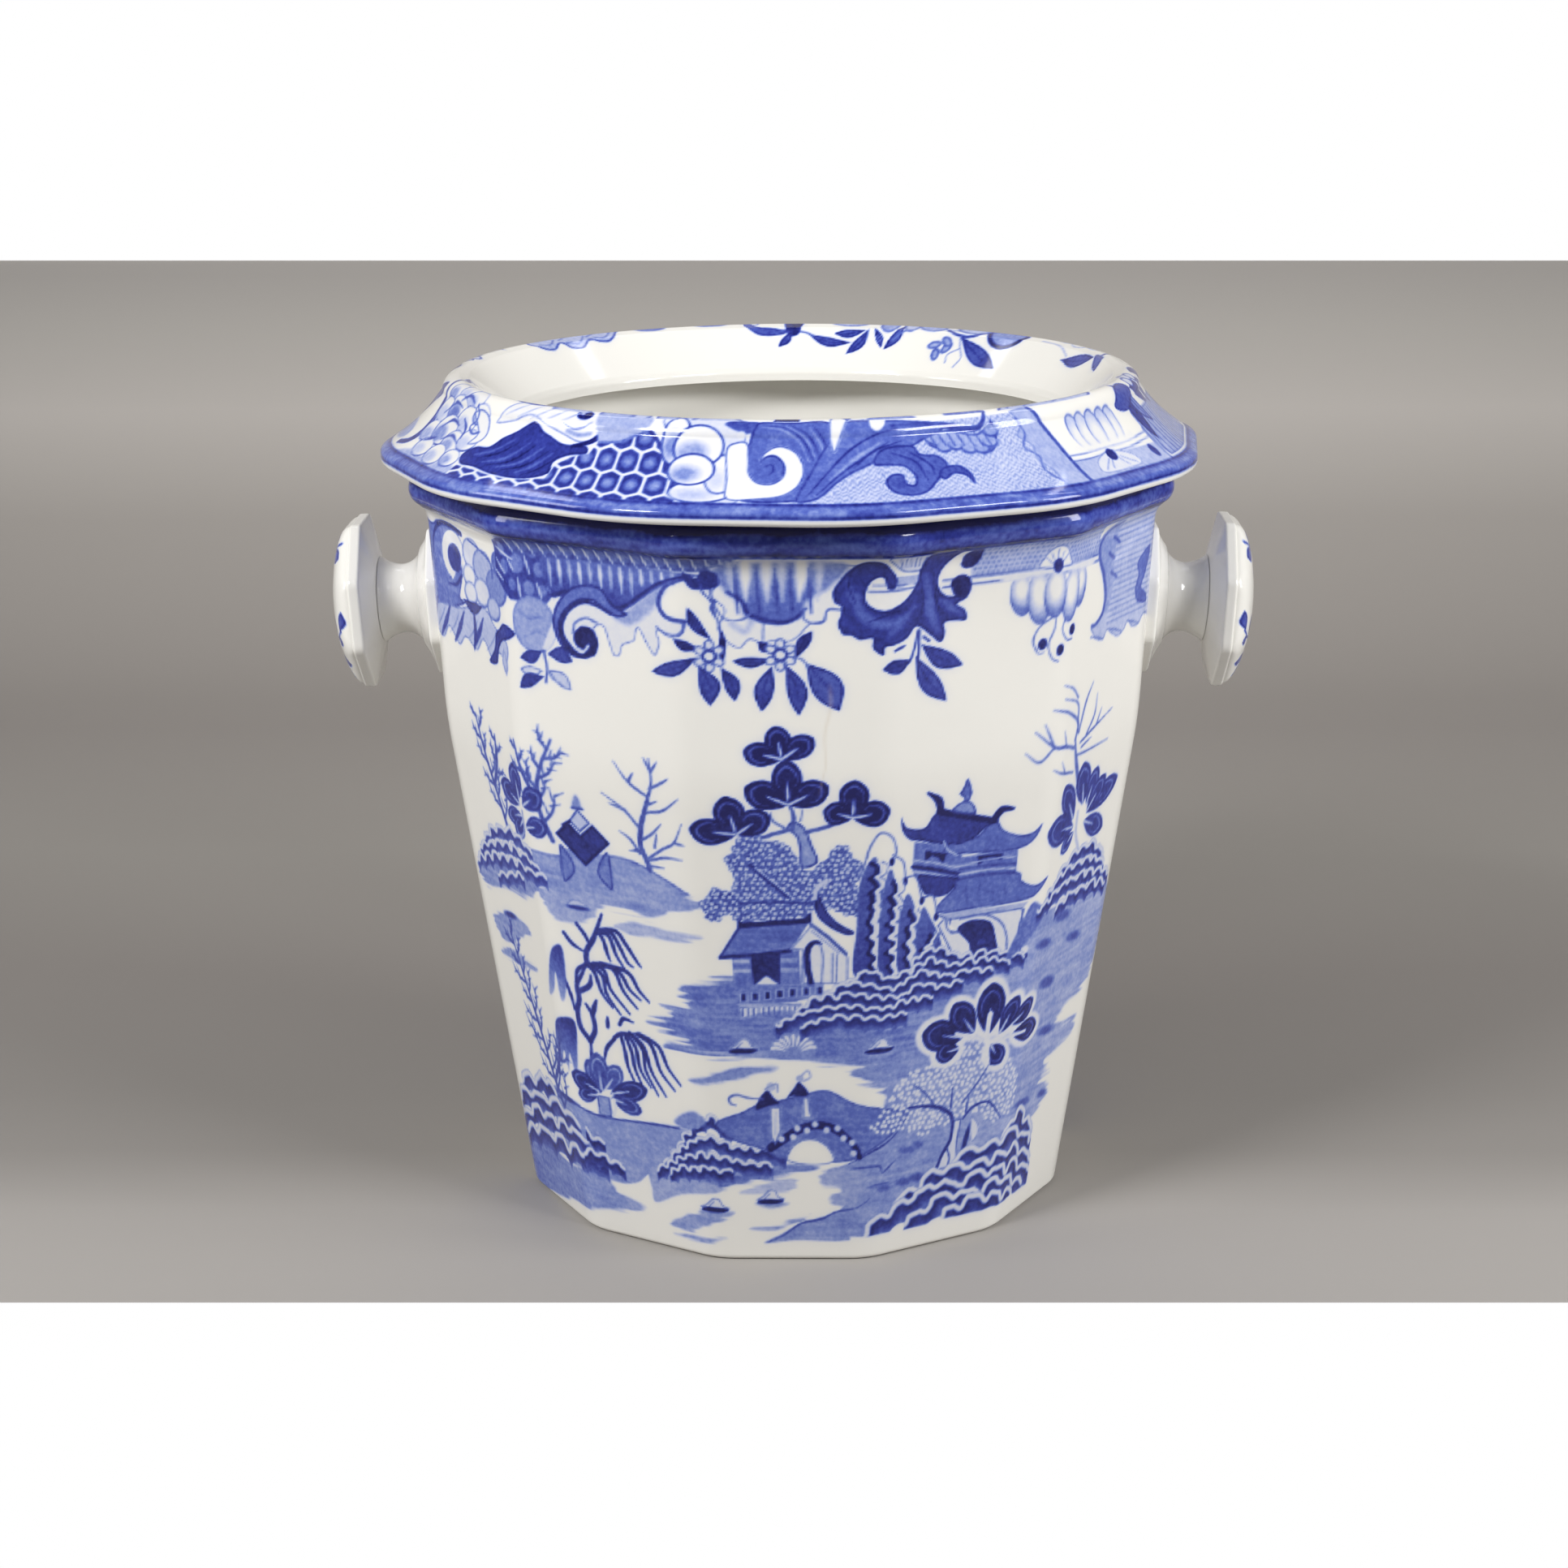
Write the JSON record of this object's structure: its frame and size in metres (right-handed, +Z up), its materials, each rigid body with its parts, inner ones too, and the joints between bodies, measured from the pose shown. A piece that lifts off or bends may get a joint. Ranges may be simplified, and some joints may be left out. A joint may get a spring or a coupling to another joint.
{
  "type": "slop jar",
  "caption": "Tapered twelve-sided blue-printed earthenware slop jar with knob handles at the sides and a loose funnel collar in its mouth.",
  "frame": {"origin": "on the table under the middle of the jar", "axes": "+Z up through the mouth, +X through the right knob handle, so that a flat side of the wall faces -Y"},
  "size_m": [0.3314, 0.2914, 0.3],
  "materials": {
    "printed_glaze": "gloss glaze over blue print",
    "white_glaze": "gloss warm white glaze"
  },
  "bodies": {
    "jar": {"jar_body": "printed_glaze", "left_knob_stem": "white_glaze", "left_knob_disc": "printed_glaze", "right_knob_stem": "white_glaze", "right_knob_disc": "printed_glaze"},
    "collar": {"loose_collar": "printed_glaze"}
  },
  "joints": [
    {"name": "collar_lift", "type": "slide", "parent": "jar", "child": "collar", "axis": [0, 0, 1], "range_m": [0, 0.06]}
  ]
}
